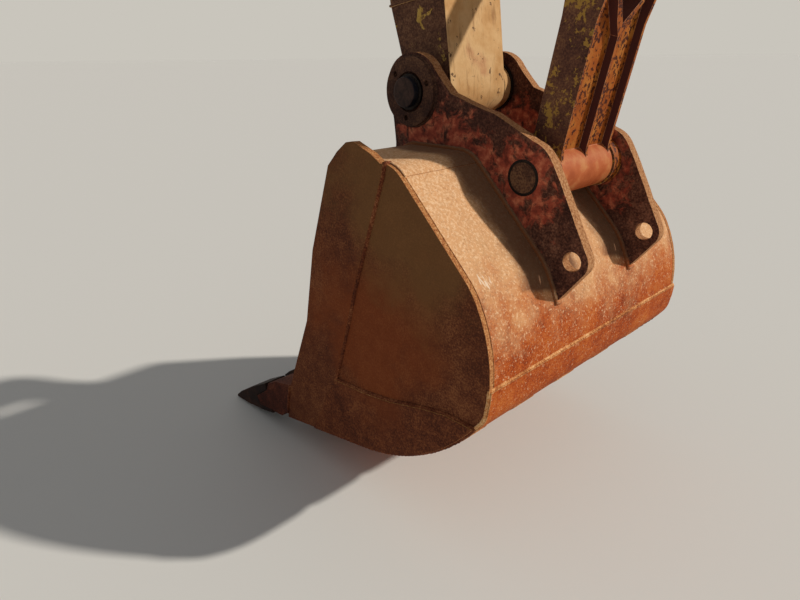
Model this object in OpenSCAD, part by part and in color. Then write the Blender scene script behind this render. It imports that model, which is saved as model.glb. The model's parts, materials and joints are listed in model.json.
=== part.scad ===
// Arm of a tracked excavator with its bucket, bucket linkage and bucket cylinder.
// Row frame: origin on the boom pin's axis, +X away from the machine, +Y to its left, +Z up.
// It is drawn as the machine parks, with the arm hanging and the tooth tips on the ground.

/* [Arm] */
// Distance from the boom pin to the bucket pin
arm_len = 2600; // [2300:10:3000]
// Lean of the arm towards the machine, in degrees
arm_lean = 8; // [0:1:16]
// Width over the arm's side plates
arm_w = 260; // [220:2:280]
// Thickness of the arm's side plates
arm_side_t = 12; // [8:1:20]
// Thickness of the arm's inner and outer plates
arm_plate_t = 16; // [10:1:25]
// Depth of the arm box at the boom pin
arm_root_depth = 510; // [480:5:540]
// Radius of the rounded nose at the bucket pin
nose_r = 88; // [85:1:91]
// Flare of the nose's inner side above the bucket pin, in degrees
nose_flare = 10.3; // [8:0.1:12]
// Reach of the tail past the boom pin
tail_len = 740; // [680:10:860]
// Offset of the tail pin towards the outer side
tail_out = 150; // [110:5:190]
// Radius of the tail's round end
tail_r = 105; // [85:1:120]
// Clear width between the two tail ears
tail_gap = 124; // [100:2:140]

/* [Pins] */
// Radius of the boom pin's bore
boom_bore_r = 45; // [40:0.5:55]
// Length of the boom pin's boss
boom_boss_len = 330; // [290:5:380]
// Outside radius of the boom pin's boss
boom_boss_r = 92; // [75:1:110]
// Radius of the arm cylinder's pin bore in the tail
tail_bore_r = 42.5; // [38:0.5:50]
// Radius of the bucket pin
bucket_pin_r = 42.5; // [38:0.5:48]
// Radius of the link pin
link_pin_r = 42.5; // [38:0.5:48]
// Radius of the rocker pin
rocker_pin_r = 35; // [30:0.5:42]
// Radius of the pin at the rod's eye
rod_pin_r = 35; // [30:0.5:42]
// Radius of the pin at the cylinder's base
base_pin_r = 40; // [32:0.5:46]
// Radial running clearance of every pin in its bore
fit_gap = 0.05; // [0.02:0.01:0.1]

/* [Bucket] */
// Width over the bucket's front side plates
bucket_w = 1038; // [900:2:1200]
// Thickness of the front side plates along the mouth
mouth_t = 25; // [20:1:32]
// Thickness of the thinner rear side plates
side_t = 17; // [10:1:20]
// Thickness of the wear plates welded low on the sides
side_wear_t = 12; // [8:1:20]
// Thickness of the bent back and floor plate
wrap_t = 16; // [10:1:22]
// Radius of the back's long bend, outside
heel_r = 405; // [395:1:415]
// Radius of the shorter bend above it, outside
shoulder_r = 220; // [180:2:260]
// Radius of the tight bend at the heel, outside
knee_r = 82; // [60:1:100]
// Radius of the curved floor behind the flat one, outside
floor_r = 740; // [700:5:780]
// Slope of the floor, in degrees
floor_slope = 12; // [9:0.5:14]
// Thickness of the band across the heel
band_t = 7; // [5:1:10]
// Number of strips under the floor
strip_n = 5; // [4:1:6]
// Thickness of the strips under the floor
strip_t = 8; // [5:1:12]
// Width of each strip under the floor
strip_w = 100; // [60:2:120]
// Thickness of the lip plate
lip_t = 40; // [30:1:44]
// Depth of the lip plate from its front edge
lip_depth = 230; // [200:5:280]

/* [Teeth] */
// Number of teeth
tooth_n = 5; // [4:1:6]
// Width of a tooth adapter
adapter_w = 96; // [80:2:120]
// Width of a tooth tip at its root
tip_w = 92; // [80:2:112]
// Width of a tooth tip at its edge
tip_edge_w = 76; // [60:2:92]
// Reach of the tooth tips from the lip's front edge
tip_reach = 353; // [330:1:380]
// Downward pitch of the teeth, in degrees
tooth_pitch = 19.4; // [14:0.2:24]

/* [Bucket ears] */
// Clear width between the two ears
ear_gap = 364; // [356:2:400]
// Thickness of each ear
ear_t = 32; // [24:1:40]
// Distance from the bucket pin to the link pin
pin_reach = 450; // [440:1:460]
// Angle of the link pin below level, in degrees
pin_drop = 26.1; // [24:0.1:28]
// Radius of the ear around the bucket pin
ear_r_a = 108; // [102:1:112]
// Radius of the ear around the link pin
ear_r_b = 98; // [92:1:104]
// Radius of the ear's tail around the lifting hole
ear_r_tail = 46; // [40:1:54]
// Radius of the collar plate around the bucket pin
collar_r = 96; // [88:1:102]
// Thickness of the collar plate around the bucket pin
collar_t = 14; // [8:1:20]
// Radius of the recess that the bucket pin sits in
recess_r = 56; // [52:0.5:60]
// Radius of the lifting hole in each ear's tail
lift_r = 26; // [20:0.5:30]

/* [Linkage] */
// Length of the bucket link between its pins
link_len = 580; // [560:2:620]
// Lean of the link away from the machine, in degrees
link_lean = 11.1; // [9:0.1:13]
// Width of the link's body
link_w = 260; // [230:2:280]
// Radius of the link's round lower end
link_end_r = 66; // [62:1:70]
// Depth of the link's body below its fork
link_depth = 96; // [88:1:104]
// Depth of the two channels down the link's outer face
channel_depth = 22; // [12:1:28]
// Radius of the fork's two ends
fork_r = 70; // [60:1:76]
// Gap between the fork's two ears
fork_gap = 112; // [104:2:130]
// Distance of the rocker pin above the bucket pin, along the arm
rocker_up = 457; // [440:1:480]
// Thickness of each rocker lever
rocker_t = 30; // [20:1:34]
// Radius of the rocker lever's two ends
rocker_r = 68; // [58:1:76]

/* [Cylinder] */
// Distance of the cylinder's base pin below the boom pin, along the arm
base_down = 60; // [20:5:120]
// Clear distance from the arm's outer plate to the base pin's centre
base_stand = 94; // [86:1:120]
// Outside radius of the barrel
barrel_r = 72; // [68:0.5:78]
// Bore radius of the barrel
barrel_bore_r = 60; // [54:0.5:62]
// Radius of the piston rod
rod_r = 42.5; // [35:0.5:48]
// Length of the cylinder from its base pin to the barrel's mouth
barrel_len = 1400; // [1340:10:1460]
// Length of the rod that stays inside the barrel at rest
rod_inside = 700; // [660:10:740]
// Width of the eyes at both ends of the cylinder
eye_w = 100; // [84:2:102]
// Radius of the oil pipe along the barrel
pipe_r = 14; // [10:0.5:16]

/* [Hidden] */
$fn = 64;
past = 2;                                 // how far a cutting solid runs past a face
play = 2;                                 // side play of a boss between two ears
boss_wall = 28;                           // wall around a pin where a boss runs between the ears
boss_step = 4;                            // how far a boss stands proud of the body it is on
weld_gap = 0.05;                          // between long faces that are welded at their edges

// Colours as the photo shows them
rust = "#6b3a24";
lit_rust = "#a85c38";
red_primer = "#7c3226";
worn_yellow = "#b08a4a";
link_orange = "#b8702c";
bare_steel = "#4a4440";
chrome = "#c4c6c8";

// Points are [x, z] pairs. A positive turn about +Y takes +Z towards +X.
function turn(p, a) = [p[0] * cos(a) + p[1] * sin(a), p[1] * cos(a) - p[0] * sin(a)];
function polar(r, a) = [r * cos(a), r * sin(a)];
function arc(c, r, a0, a1, n) = [for (i = [0:n]) c + polar(r, a0 + (a1 - a0) * i / n)];
function flip(l) = [for (i = [len(l) - 1:-1:0]) l[i]];
function shift(l, d) = [for (p = l) p + d];
// Arm points, [outwards, up] from the boom pin, in the row frame
function on_arm(l) = [for (p = l) turn(p, -arm_lean)];
// Direction of the common tangent of two circles, on the side that s picks
function tangent_turn(c0, r0, c1, r1, s) =
  atan2(c1[1] - c0[1], c1[0] - c0[0]) + s * acos((r0 - r1) / norm(c1 - c0));

// Half widths across the arm, from the middle out
arm_h = arm_w / 2;
ear_in = ear_gap / 2;
ear_out = ear_in + ear_t;
boss_h = ear_in - play;
rocker_in = arm_h + 9;
rocker_out = rocker_in + rocker_t;
bucket_h = bucket_w / 2;
inside_h = bucket_h - mouth_t;
rear_h = inside_h + side_t;

// A plate with its outline in the X-Z plane, from y0 to y1
module plate(pts, y0, y1) {
  translate([0, y1, 0]) rotate([90, 0, 0]) linear_extrude(y1 - y0) polygon(pts);
}
// The same plate on both sides of the middle
module plates(pts, y0, y1) {
  plate(pts, y0, y1);
  plate(pts, -y1, -y0);
}
// A round bar along Y, from y0 to y1
module bar(at, r, y0, y1) {
  translate([at[0], y1, at[1]]) rotate([90, 0, 0]) cylinder(h = y1 - y0, r = r);
}
// The same bar on both sides of the middle
module bars(at, r, y0, y1) {
  bar(at, r, y0, y1);
  bar(at, r, -y1, -y0);
}

// Outline of the arm box, [outwards, up] from the boom pin
nose_at = [-12, -arm_len];                // middle of the nose's round end, beside the bucket pin
nose_height = 260;                        // from the bucket pin to the top of the nose casting
nose_top = nose_height - arm_len;
nose_face_out = nose_at[0] + nose_r;
nose_side_in = nose_at + polar(nose_r, 180 - nose_flare);
nose_face_in = nose_side_in[0] - (nose_top - nose_side_in[1]) * tan(nose_flare);
root_in = -180;
root_out = root_in + arm_root_depth;
box_top = tail_len - 330;
tail_at = [tail_out, tail_len];
inner_edge = [[nose_face_in, nose_top], [root_in, -330], [-135, 60], [tail_out - 200, box_top]];
outer_edge = [[nose_face_out, nose_top], [root_out, -260], [root_out - 12, 210], [tail_out + 130, box_top]];
tail_end = flip(arc(tail_at, tail_r, 8, 172, 16));

// Pins that stay on the arm
rocker_at = [-16, rocker_up - arm_len];
base_at = [root_out + base_stand, -base_down];
pin_a = turn([0, -arm_len], -arm_lean);
pin_d = turn(rocker_at, -arm_lean);
pin_e = turn(base_at, -arm_lean);
pin_t = turn(tail_at, -arm_lean);
rocker_boss_r = 66;

module arm_side_plates() {
  outline = concat(inner_edge, tail_end, flip(outer_edge));
  color(worn_yellow) difference() {
    plates(on_arm(outline), arm_h - arm_side_t, arm_h);
    bar([0, 0], boom_boss_r, -arm_h - past, arm_h + past);
    bar(pin_d, rocker_boss_r, -arm_h - past, arm_h + past);
    bar(pin_t, tail_bore_r, -arm_h - past, arm_h + past);
  }
}

// The inner and outer plates close the box between the side plates
box_h = arm_h - arm_side_t;
module arm_inner_plate() {
  color(worn_yellow)
    plate(on_arm(concat(inner_edge, flip(shift(inner_edge, [arm_plate_t, 0])))), -box_h, box_h);
}
module arm_outer_plate() {
  color(worn_yellow)
    plate(on_arm(concat(outer_edge, flip(shift(outer_edge, [-arm_plate_t, 0])))), -box_h, box_h);
}
module arm_end_plate() {
  left = inner_edge[3] + [arm_plate_t, 0];
  right = outer_edge[3] - [arm_plate_t, 0];
  drop = [0, -arm_plate_t];
  color(worn_yellow) plate(on_arm([left, right, right + drop, left + drop]), -box_h, box_h);
}

// The nose casting ends in a half round about the bucket pin, and its boss fills the ears' gap
module arm_nose() {
  nose = concat(arc(nose_at, nose_r, 180 - nose_flare, 360, 24),
    [[nose_face_out, nose_top], [nose_face_in, nose_top]]);
  color(worn_yellow) difference() {
    union() {
      plate(on_arm(nose), -arm_h, arm_h);
      bar(pin_a, bucket_pin_r + boss_wall, -boss_h, boss_h);
    }
    bar(pin_a, bucket_pin_r + fit_gap, -ear_in, ear_in);
  }
}

module boom_boss() {
  color(worn_yellow) difference() {
    bar([0, 0], boom_boss_r, -boom_boss_len / 2, boom_boss_len / 2);
    bar([0, 0], boom_bore_r, -boom_boss_len, boom_boss_len);
  }
}
module rocker_boss() {
  color(worn_yellow) difference() {
    bar(pin_d, rocker_boss_r, -rocker_in + 1, rocker_in - 1);
    bar(pin_d, rocker_pin_r + fit_gap, -rocker_in, rocker_in);
  }
}

// Thick ears inside the side plates take the arm cylinder's rod eye between them
module tail_ears() {
  foot = [inner_edge[3], outer_edge[3]];
  color(worn_yellow) difference() {
    plates(on_arm(concat([foot[0] + [arm_plate_t, 0]], tail_end, [foot[1] - [arm_plate_t, 0]])),
      tail_gap / 2, box_h);
    bar(pin_t, tail_bore_r, -arm_h, arm_h);
  }
}

// Two lugs on the outer plate carry the base of the bucket cylinder
lug_in = eye_w / 2 + 4;
lug_out = lug_in + 28;
lug_r = 72;
function outer_at(z) = root_out - 12 * (z + 260) / 470;
module base_lugs() {
  low = -base_down - 100;
  high = -base_down + 170;
  lug = concat([[outer_at(low), low]], arc(base_at, lug_r, -50, 70, 12), [[outer_at(high), high]]);
  color(worn_yellow) difference() {
    plates(on_arm(lug), lug_in, lug_out);
    bar(pin_e, base_pin_r + fit_gap, -lug_out - past, lug_out + past);
  }
}
module rocker_pin() { color(bare_steel) bar(pin_d, rocker_pin_r, -rocker_out - 4, rocker_out + 4); }
module base_pin() { color(bare_steel) bar(pin_e, base_pin_r, -lug_out - 6, lug_out + 6); }

// Bucket outline, [x, z] from the bucket pin. Each bend ends at its turn, the angle that its
// outer face then points at, and the next one runs on from there without a corner
heel_at = [150, -634];
back_turn = 45;
shoulder_turn = 30;
heel_turn = -12;
knee_turn = -35.5;
floor_turn = floor_slope - 90;
shoulder_at = heel_at + polar(heel_r - shoulder_r, shoulder_turn);
knee_at = heel_at + polar(heel_r - knee_r, heel_turn);
floor_at = knee_at + polar(knee_r - floor_r, knee_turn);
heel_foot = floor_at + polar(floor_r, floor_turn);
floor_dir = polar(1, floor_slope);
floor_up = polar(1, floor_slope + 90);
lip_front_x = -405;
lip_front = heel_foot - floor_dir * ((heel_foot[0] - lip_front_x) / cos(floor_slope));
lip_back = lip_front + floor_dir * lip_depth;
back_foot = shoulder_at + polar(shoulder_r, back_turn);
top_back = back_foot + [-1, 1] * (back_foot[0] - 228);
back_in = polar(-1, back_turn);
// The back runs over into the flat top of the hinge box in a bend of its own
crease_r = 90;
crease_at = top_back - [crease_r * tan(back_turn / 2), crease_r];
wrap_end = crease_at + polar(crease_r, back_turn);
crease = arc(crease_at, crease_r, back_turn, 90, 4);

// Line of the bent plate from the lip to the hinge box, drawn d inside its outer face
function wrap_line(d) = concat([lip_back + floor_up * d],
  arc(floor_at, floor_r - d, floor_turn, knee_turn, 10),
  arc(knee_at, knee_r - d, knee_turn + 6, heel_turn, 3),
  arc(heel_at, heel_r - d, heel_turn + 6, shoulder_turn, 6),
  arc(shoulder_at, shoulder_r - d, shoulder_turn + 5, back_turn, 2),
  [wrap_end + back_in * d]);
hinge_front = [[4, top_back[1]], [-26, top_back[1] - 11], [-46, -190], [-60, -240]];
lip_area = [lip_front + floor_up * 10, lip_front + floor_dir * 34, lip_back,
  lip_back + floor_up * lip_t, lip_front + floor_dir * 66 + floor_up * lip_t,
  lip_front + floor_up * 16];
mouth_edge = [[-23, -177], [-122, -440], [-180, -691], [-312, -986], [-330, -1050]];
top_edge = [[156, -128], [90, -104], [58, -108], [20, -135]];
seam = [[195, -175], [115, -388], [65, -521], [18, -672], [-45, -855], [-195, -1120]];
wear_edge = [[94, -843], [207, -824], [330, -790], [423, -770]];
beyond = 1500;                            // reach of an area that only cuts

module bucket_area(pts) { translate(pin_a) polygon(pts); }
module side_area() {
  bucket_area(concat(mouth_edge, [lip_front + floor_dir * 60], wrap_line(0), crease, top_edge));
}
module front_area() {
  bucket_area(concat([[-beyond, 0], [230, 0]], seam, [[-200, -beyond], [-beyond, -beyond]]));
}
module wear_area() {
  below = [seam[5][0], -beyond];
  bucket_area(concat([seam[4]], wear_edge, [[beyond, -770], [beyond, -beyond], below, seam[5]]));
}
// Everything inside the outer face of the bent plate and the hinge box, and a gap beyond it
module shell_area(gap = 0) {
  bucket_area(concat([lip_front], wrap_line(-gap), arc(crease_at, crease_r + gap, back_turn, 90, 4),
    shift(hinge_front, [-gap, gap])));
}
// Stands a flat area up in the X-Z plane, from y0 to y1
module slab(y0, y1) { translate([0, y1, 0]) rotate([90, 0, 0]) linear_extrude(y1 - y0) children(); }
// The same on both sides of the middle
module upright(y0, y1) {
  slab(y0, y1) children();
  slab(-y1, -y0) children();
}

module bucket_wrapper() {
  color(lit_rust) plate(shift(concat(wrap_line(0), flip(wrap_line(wrap_t))), pin_a), -inside_h, inside_h);
}
module hinge_box() {
  wrap_in = wrap_end + back_in * (wrap_t + weld_gap);
  box = concat(hinge_front, [[150, -330], wrap_in + [60, -60], wrap_in], crease);
  color(rust) plate(shift(box, pin_a), -inside_h, inside_h);
}
module rear_side_plates() {
  color(rust) upright(inside_h, rear_h) difference() { side_area(); front_area(); }
}
module front_side_plates() {
  color(rust) upright(inside_h, bucket_h) intersection() { side_area(); front_area(); }
}
module side_wear_plates() {
  color(rust) upright(rear_h, rear_h + side_wear_t) intersection() { side_area(); wear_area(); }
}
module heel_band() {
  low_turn = -38;
  high_turn = -2;
  band = concat([heel_at], arc(floor_at, floor_r + band_t, low_turn, knee_turn, 1),
    arc(knee_at, knee_r + band_t, knee_turn + 6, heel_turn, 3),
    arc(heel_at, heel_r + band_t, heel_turn + 5, high_turn, 1));
  color(lit_rust) slab(-rear_h, rear_h) difference() { bucket_area(band); shell_area(); }
}
module floor_strips() {
  high_turn = -44;
  front = heel_foot - floor_dir * 100;
  outermost = inside_h - strip_w / 2;
  strip = concat([heel_at, front - floor_up * strip_t],
    arc(floor_at, floor_r + strip_t, floor_turn, high_turn, 8));
  for (i = [0:strip_n - 1]) {
    y = outermost * (2 * i / (strip_n - 1) - 1);
    color(rust) slab(y - strip_w / 2, y + strip_w / 2) difference() { bucket_area(strip); shell_area(); }
  }
}
module lip_plate() { color(rust) plate(shift(lip_area, pin_a), -inside_h, inside_h); }

// Teeth stand in a row along the lip. In a tooth's own frame X runs out of the lip, Z up
tooth_rise = 26;                          // of a tooth's middle line above the lip's
tooth_at = pin_a + lip_front + floor_up * (lip_t / 2 + tooth_rise);
module each_tooth() {
  for (i = [0:tooth_n - 1]) {
    y = (bucket_h - adapter_w / 2) * (2 * i / (tooth_n - 1) - 1);
    translate([tooth_at[0], y, tooth_at[1]]) rotate([0, -tooth_pitch, 0]) mirror([1, 0, 0]) children();
  }
}
nose_root = 60;
nose_tip = 150;
// Adapters sit over the lip, and the outermost two run on flush with the side plates
module tooth_adapters() {
  side = [[-128, 74], [-21, 84], [30, 74], [nose_root, 44], [nose_tip, 18], [nose_tip, -18],
    [nose_root, -34], [24, -46], [-10, -52], [-60, -30], [-128, -30]];
  color(rust) difference() {
    each_tooth() plate(side, -adapter_w / 2, adapter_w / 2);
    plate(shift(lip_area, pin_a), -inside_h, inside_h);
    upright(inside_h, bucket_h + past) side_area();
  }
}
module tooth_tips() {
  side = [[nose_root, 72], [177, 53], [306, 22], [tip_reach, 5], [tip_reach, -4], [262, -25],
    [115, -46], [nose_root, -50]];
  taper = [[0, -tip_w / 2], [140, -tip_w / 2], [tip_reach + past, -tip_edge_w / 2],
    [tip_reach + past, tip_edge_w / 2], [140, tip_w / 2], [0, tip_w / 2]];
  socket = [[0, 62], [nose_root, 44], [nose_tip, 18], [nose_tip, -18], [nose_root, -34], [0, -56]];
  color(rust) each_tooth() difference() {
    intersection() {
      plate(side, -tip_w / 2, tip_w / 2);
      translate([0, 0, -beyond / 2]) linear_extrude(beyond) polygon(taper);
    }
    plate(socket, -adapter_w, adapter_w);
  }
}

// Ears stand on the hinge box and the back plate, and hold the bucket pin and the link pin
ear_b = pin_reach * [cos(pin_drop), -sin(pin_drop)];
pin_b = pin_a + ear_b;
lift_at = ear_b + [164, -191];
pin_l = pin_a + lift_at;
tail_turn = tangent_turn(ear_b, ear_r_b, lift_at, ear_r_tail, 1);
ear_line = concat([[-74, -236], [-70, -150], [-ear_r_a * 0.8, -ear_r_a * 0.2]],
  flip(arc([0, 0], ear_r_a, 35, 165, 14)), [[150, -1], [300, -44]],
  flip(arc(ear_b, ear_r_b, tail_turn, 75, 6)),
  flip(arc(lift_at, ear_r_tail, -30, tail_turn, 6)),
  [heel_at + polar(heel_r, 18), shoulder_at, [212, -330], [0, -260]]);
module ear_area() {
  difference() {
    bucket_area(ear_line);
    shell_area(weld_gap);
  }
}
module bucket_ears() {
  color(red_primer) difference() {
    upright(ear_in, ear_out) ear_area();
    bar(pin_a, bucket_pin_r + fit_gap, -bucket_h, bucket_h);
    bar(pin_b, link_pin_r + fit_gap, -bucket_h, bucket_h);
    bar(pin_l, lift_r, -bucket_h, bucket_h);
  }
}
// Collars thicken the ears at the bucket pin, which ends inside their recess
keeper_pcd = 148;
keeper_r = 8;
module ear_collars() {
  color(red_primer) difference() {
    bars(pin_a, collar_r, ear_out, ear_out + collar_t);
    bars(pin_a, recess_r, ear_out - past, ear_out + collar_t + past);
    for (a = [20, 140, 260])
      bars(pin_a + polar(keeper_pcd / 2, a), keeper_r, ear_out - past, ear_out + collar_t + past);
  }
}
pin_proud = 22;                           // of the bucket pin's ends beyond its collars
module bucket_pin() {
  end = ear_out + collar_t + pin_proud;
  color(bare_steel) bar(pin_a, bucket_pin_r, -end, end);
}
module link_pin() { color(bare_steel) bar(pin_b, link_pin_r, -ear_out - 1, ear_out + 1); }

// The link stands on the link pin. In its own frame X runs across it and Z from pin to pin
pin_c = pin_b + link_len * [sin(link_lean), cos(link_lean)];
module on_link() {
  translate([pin_b[0], 0, pin_b[1]]) rotate([0, link_lean, 0]) children();
}
// A flat area of [y, z] points, drawn through from x0 to x1
module across(pts, x0, x1) {
  translate([x0, 0, 0]) rotate([90, 0, 90]) linear_extrude(x1 - x0) polygon(pts);
}
// The link's slot ends in a V between its two arms, and the ribs run on beside it
slot_foot = link_len - 200;
slot_full = link_len - 138;
rib = 10;                                 // width of the link's ribs
link_back = 54;                           // from the line of its pins to the link's inner face
module bucket_link() {
  link_h = link_w / 2;
  body_h = link_h - boss_step;
  slot_h = fork_gap / 2;
  back = -link_back;
  front = link_depth - link_back;
  fillet_r = 60;
  fillet_at = [front + fillet_r, sqrt(pow(link_end_r + fillet_r, 2) - pow(front + fillet_r, 2))];
  side = concat([[back, 30], [back, slot_foot], [1 - fork_r, link_len], [fork_r - 1, link_len],
    [front, slot_foot]], arc(fillet_at, fillet_r, 180, 208, 3), [[40, 30]]);
  floor_x = front - channel_depth;
  channel_top = link_len - 40;
  channel = [[rib / 2, 30], [rib / 2, slot_foot - 30], [slot_h + rib, slot_full - rib],
    [slot_h + rib, channel_top], [body_h - rib, channel_top], [body_h - rib, 30]];
  slot = [[0, slot_foot], [slot_h, slot_full], [slot_h, beyond], [-slot_h, beyond], [-slot_h, slot_full]];
  color(link_orange) difference() {
    union() {
      difference() {
        on_link() plate(side, -body_h, body_h);
        for (s = [-1, 1]) on_link() across([for (p = channel) [s * p[0], p[1]]], floor_x, beyond);
      }
      bar(pin_b, link_end_r, -link_h, link_h);
      bar(pin_b, link_end_r - 4, -boss_h, boss_h);
      bars(pin_b, link_pin_r + boss_wall, link_h + 6, boss_h - 6);
      bar(pin_c, fork_r, -link_h, link_h);
    }
    on_link() across(slot, -beyond, beyond);
    bar(pin_b, link_pin_r + fit_gap, -ear_in, ear_in);
    bar(pin_c, rod_pin_r + fit_gap, -ear_in, ear_in);
  }
}
module fork_pins() { color(bare_steel) bars(pin_c, rod_pin_r, fork_gap / 2 - 2, link_w / 2 + 4); }

// Two rocker levers join the arm to the top of the link
rocker_dir = atan2(pin_c[1] - pin_d[1], pin_c[0] - pin_d[0]);
module rocker_levers() {
  waist = polar(0.68 * rocker_r, rocker_dir + 90);
  along = polar(1, rocker_dir);
  lever = concat(arc(pin_d, rocker_r, rocker_dir + 50, rocker_dir + 310, 20),
    [pin_d + along * 150 - waist, pin_c - along * 150 - waist],
    arc(pin_c, rocker_r, rocker_dir - 130, rocker_dir + 130, 20),
    [pin_c - along * 150 + waist, pin_d + along * 150 + waist]);
  color(worn_yellow) difference() {
    plates(lever, rocker_in, rocker_out);
    bar(pin_d, rocker_pin_r + fit_gap, -ear_in, ear_in);
    bar(pin_c, rod_pin_r + fit_gap, -ear_in, ear_in);
  }
}
module rocker_stubs() { color(bare_steel) bars(pin_c, rod_pin_r, rocker_in - 3, rocker_out + 5); }

// The cylinder runs from its base pin to the rod pin. In its own frame that line is X
ram_dir = atan2(pin_c[1] - pin_e[1], pin_c[0] - pin_e[0]);
ram_len = norm(pin_c - pin_e);
module on_ram(x) {
  translate([pin_e[0], 0, pin_e[1]]) rotate([0, -ram_dir, 0]) translate([x, 0, 0]) children();
}
module round_x(r, len) { rotate([0, 90, 0]) cylinder(h = len, r = r); }
base_eye_r = 68;
base_block = 150;                         // from the base pin to the barrel tube
head_len = 110;
module barrel_base() {
  color(worn_yellow) difference() {
    union() {
      bar(pin_e, base_eye_r, -eye_w / 2, eye_w / 2);
      on_ram(0) translate([0, boss_step - eye_w / 2, -46]) cube([base_block - 20, eye_w - 2 * boss_step, 92]);
      on_ram(base_block - 36) round_x(barrel_r, 36);
    }
    bar(pin_e, base_pin_r + fit_gap, -eye_w, eye_w);
  }
}
module barrel_tube() {
  color(worn_yellow) on_ram(base_block) difference() {
    round_x(barrel_r, barrel_len - head_len - base_block);
    translate([-past, 0, 0]) round_x(barrel_bore_r, barrel_len);
  }
}
module barrel_head() {
  color(worn_yellow) on_ram(barrel_len - head_len) difference() {
    union() {
      round_x(barrel_r + 12, 60);
      round_x(barrel_r - 2, head_len);
    }
    translate([-past, 0, 0]) round_x(rod_r + fit_gap, head_len + 2 * past);
  }
}
// The oil pipe runs on the outer side, from the head back to the base
pipe_off = barrel_r + 26;
module oil_pipe() {
  color(bare_steel) {
    on_ram(base_block + 60) translate([0, 0, pipe_off])
      round_x(pipe_r, barrel_len - head_len - base_block - 90);
    for (x = [base_block + 30, barrel_len - head_len - 44]) on_ram(x) difference() {
      translate([0, -24, barrel_r - 8]) cube([44, 48, pipe_off - barrel_r + 30]);
      translate([-past, 0, 0]) round_x(barrel_r, 60);
    }
  }
}
module pipe_clamps() {
  count = 3;
  pitch = (barrel_len - head_len - base_block) / (count + 1);
  for (i = [1:count]) color(bare_steel) on_ram(base_block + i * pitch) difference() {
    translate([0, -22, barrel_r - 1]) cube([30, 44, pipe_off - barrel_r + pipe_r + 7]);
    translate([-past, 0, 0]) round_x(barrel_r, 40);
    translate([-past, 0, pipe_off]) round_x(pipe_r, 40);
  }
}

eye_r = 64;
rod_seat = 12;                            // how deep the rod is let into its eye
eye_neck = 40;                            // length of the eye's neck round the rod
neck_wall = 6;
module piston_rod() {
  start = barrel_len - rod_inside;
  color(chrome) on_ram(start) round_x(rod_r, ram_len - start - eye_r + rod_seat);
}
module rod_eye() {
  color(worn_yellow) difference() {
    union() {
      bar(pin_c, eye_r, -eye_w / 2, eye_w / 2);
      on_ram(ram_len - eye_r - eye_neck) round_x(rod_r + neck_wall, eye_neck + rod_seat);
    }
    bar(pin_c, rod_pin_r + fit_gap, -eye_w, eye_w);
    on_ram(ram_len - eye_r - 2 * eye_neck) round_x(rod_r, 2 * eye_neck + rod_seat);
  }
}
module rod_eye_pin() { color(bare_steel) bar(pin_c, rod_pin_r, -eye_w / 2 - 2, eye_w / 2 + 2); }

arm_side_plates();
arm_inner_plate();
arm_outer_plate();
arm_end_plate();
arm_nose();
boom_boss();
rocker_boss();
tail_ears();
base_lugs();
rocker_pin();
base_pin();
bucket_wrapper();
hinge_box();
rear_side_plates();
front_side_plates();
side_wear_plates();
heel_band();
floor_strips();
lip_plate();
tooth_adapters();
tooth_tips();
bucket_ears();
ear_collars();
bucket_pin();
link_pin();
bucket_link();
fork_pins();
rocker_levers();
rocker_stubs();
barrel_tube();
barrel_head();
barrel_base();
oil_pipe();
pipe_clamps();
piston_rod();
rod_eye();
rod_eye_pin();
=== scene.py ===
# %% [markdown]
# # An excavator's arm and bucket, dressed over its construction
# The construction model gives every plate, pin and tooth its place. This lesson keeps those places
# and adds what the construction leaves plain: the battered edges of cut plate, the weld beads, the
# fittings, and the rust, primer and enamel of a machine that has stood outside for years.

import json
import math

import bmesh
import bpy
from mathutils import Matrix, Vector, noise
from mathutils.bvhtree import BVHTree


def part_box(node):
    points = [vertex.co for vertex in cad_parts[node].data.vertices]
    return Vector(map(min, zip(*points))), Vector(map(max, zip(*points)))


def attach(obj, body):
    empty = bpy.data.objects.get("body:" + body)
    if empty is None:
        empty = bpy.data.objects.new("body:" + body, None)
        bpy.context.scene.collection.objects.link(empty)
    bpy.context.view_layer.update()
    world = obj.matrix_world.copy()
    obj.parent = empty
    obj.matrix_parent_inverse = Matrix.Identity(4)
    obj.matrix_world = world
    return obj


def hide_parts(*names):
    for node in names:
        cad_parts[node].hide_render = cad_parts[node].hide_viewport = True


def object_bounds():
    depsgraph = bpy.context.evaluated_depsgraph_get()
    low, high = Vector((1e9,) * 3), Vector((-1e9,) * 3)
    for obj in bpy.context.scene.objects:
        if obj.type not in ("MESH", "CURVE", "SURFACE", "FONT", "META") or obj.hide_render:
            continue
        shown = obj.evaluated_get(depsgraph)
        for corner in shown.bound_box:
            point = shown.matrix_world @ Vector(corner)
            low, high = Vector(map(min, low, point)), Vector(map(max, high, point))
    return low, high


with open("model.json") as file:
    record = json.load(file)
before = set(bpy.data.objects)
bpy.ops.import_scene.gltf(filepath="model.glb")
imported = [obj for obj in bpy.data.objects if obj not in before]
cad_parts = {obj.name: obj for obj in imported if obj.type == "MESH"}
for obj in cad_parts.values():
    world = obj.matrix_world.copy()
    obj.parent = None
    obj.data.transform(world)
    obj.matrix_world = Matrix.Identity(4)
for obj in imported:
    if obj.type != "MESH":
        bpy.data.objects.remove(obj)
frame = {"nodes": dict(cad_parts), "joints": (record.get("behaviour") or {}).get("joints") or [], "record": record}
cad_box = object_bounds()
NODES = frame["nodes"]
RECORD = frame["record"]
JOINTS = {joint["name"]: joint for joint in frame["joints"]}
MOUNTS = {mount["name"]: mount for mount in RECORD["mounts"]}
BODY_OF = {node: body for body, nodes in RECORD["behaviour"]["bodies"].items() for node in nodes}
print("CAD box", [round(x, 3) for corner in cad_box for x in corner])

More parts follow.
